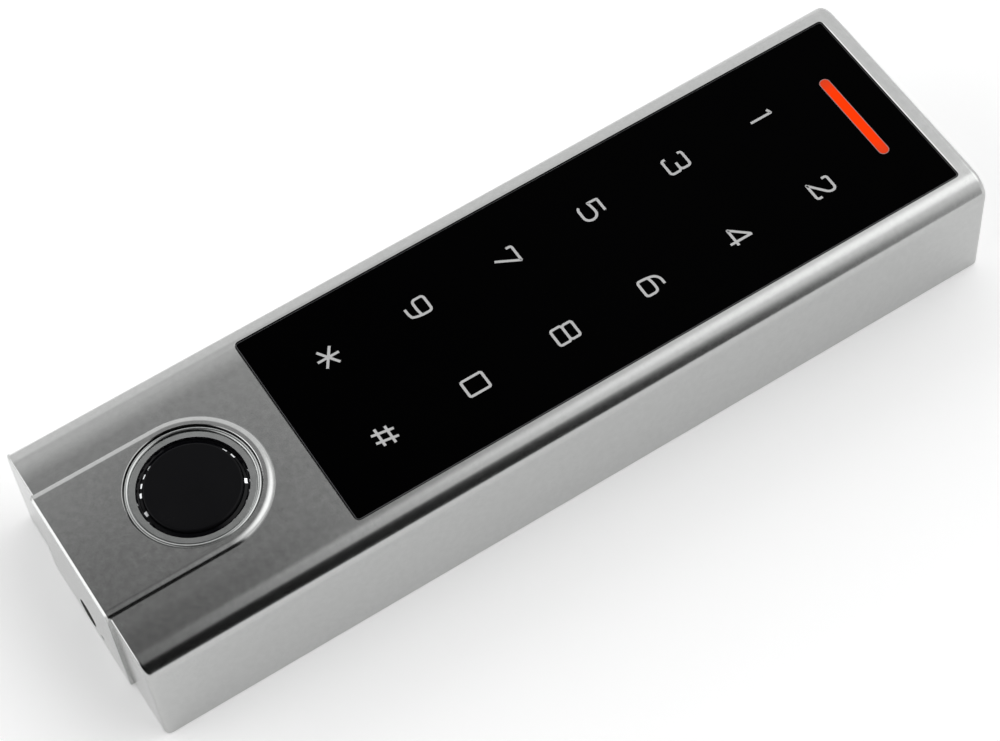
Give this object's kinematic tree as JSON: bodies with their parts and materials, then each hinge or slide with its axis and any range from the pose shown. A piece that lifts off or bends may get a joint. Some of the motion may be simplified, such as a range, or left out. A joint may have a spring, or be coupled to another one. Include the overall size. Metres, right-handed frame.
{
  "type": "fingerprint access terminal",
  "caption": "Slim wall-mounted access terminal: black glass touch keypad with a light bar over a round fingerprint sensor, in a satin metal housing on a wall plate.",
  "frame": {"origin": "middle of the back of the terminal, on the wall plane", "axes": "+Z out of the front face, +Y along the terminal to the end with the light bar, +X to the right seen from the front"},
  "size_m": [0.045, 0.1496, 0.0221],
  "materials": {
    "satin_casting": "fine bead-blasted satin chrome on a zinc casting",
    "black_glass": "polished glass, printed black behind",
    "adhesive_foam": "matte black foam tape",
    "black_circuit_board": "black solder mask",
    "green_circuit_board": "green solder mask",
    "chip_black": "moulded epoxy",
    "amber_diffuser": "milky orange diffuser, lit",
    "coil_copper": "enamelled copper wire",
    "bezel_metal": "satin grey metal",
    "rubber": "matte black rubber",
    "brass": "turned brass",
    "smoked_prism": "polished smoked clear plastic",
    "sensor_window": "satin black hard coat",
    "ribbon_film": "polyester film over flat conductors",
    "socket_plastic": "natural nylon",
    "clear_sensor": "clear coated light sensor",
    "led_white": "white package with a yellow phosphor window",
    "black_plastic": "fine spark texture",
    "plate_steel": "stamped sheet steel, zinc plated",
    "nylon": "natural nylon",
    "screw_steel": "turned stainless steel"
  },
  "bodies": {
    "wall_plate": {"wall_plate": "plate_steel"},
    "terminal": {"housing": "satin_casting", "keypad_glass": "black_glass", "glass_adhesive": "adhesive_foam", "touch_board": "black_circuit_board", "touch_chip": "chip_black", "light_bar": "amber_diffuser", "reader_coil": "coil_copper", "key_led_1": "led_white", "key_led_2": "led_white", "key_led_3": "led_white", "key_led_4": "led_white", "key_led_5": "led_white", "key_led_6": "led_white", "key_led_7": "led_white", "key_led_8": "led_white", "key_led_9": "led_white", "key_led_10": "led_white", "key_led_11": "led_white", "key_led_12": "led_white", "bar_led_1": "led_white", "bar_led_2": "led_white", "bar_led_3": "led_white", "sensor_bezel": "bezel_metal", "sensor_seal": "rubber", "sensor_nut": "brass", "sensor_prism_ring": "smoked_prism", "finger_window": "sensor_window", "sensor_body": "chip_black", "sensor_board": "green_circuit_board", "sensor_ribbon": "ribbon_film", "main_board": "green_circuit_board", "ribbon_socket": "socket_plastic", "board_header": "chip_black", "main_chip": "chip_black", "memory_chip": "chip_black", "reader_chip": "chip_black", "regulator": "chip_black", "buzzer": "chip_black", "wire_socket": "socket_plastic", "tamper_sensor": "clear_sensor", "board_screw_1": "screw_steel", "board_screw_2": "screw_steel", "board_screw_3": "screw_steel", "board_screw_4": "screw_steel", "rear_cover": "black_plastic", "cover_seal": "rubber", "cable_grommet": "rubber", "cover_screw_1": "screw_steel", "cover_screw_2": "screw_steel", "cover_screw_3": "screw_steel", "cover_screw_4": "screw_steel", "cover_screw_5": "screw_steel", "cover_screw_6": "screw_steel"},
    "lock_washer": {"lock_washer": "nylon"},
    "lock_screw": {"lock_screw": "screw_steel"}
  },
  "joints": [
    {"name": "terminal_tilt", "type": "hinge", "parent": "wall_plate", "child": "terminal", "pos_m": [0, 0.0748, 0], "axis": [-1, 0, 0], "range_deg": [0, 10]},
    {"name": "lock_screw_travel", "type": "slide", "parent": "terminal", "child": "lock_washer", "axis": [0, -1, 0], "range_m": [0, 0.00135]},
    {"name": "lock_screw_turn", "type": "hinge", "parent": "lock_washer", "child": "lock_screw", "pos_m": [0, -0.072, 0.0039], "axis": [0, -1, 0], "range_deg": [0, 1081]}
  ],
  "couplings": [
    {"joint": "lock_screw_turn", "follows": "lock_screw_travel", "rad_per_m": 13963}
  ]
}
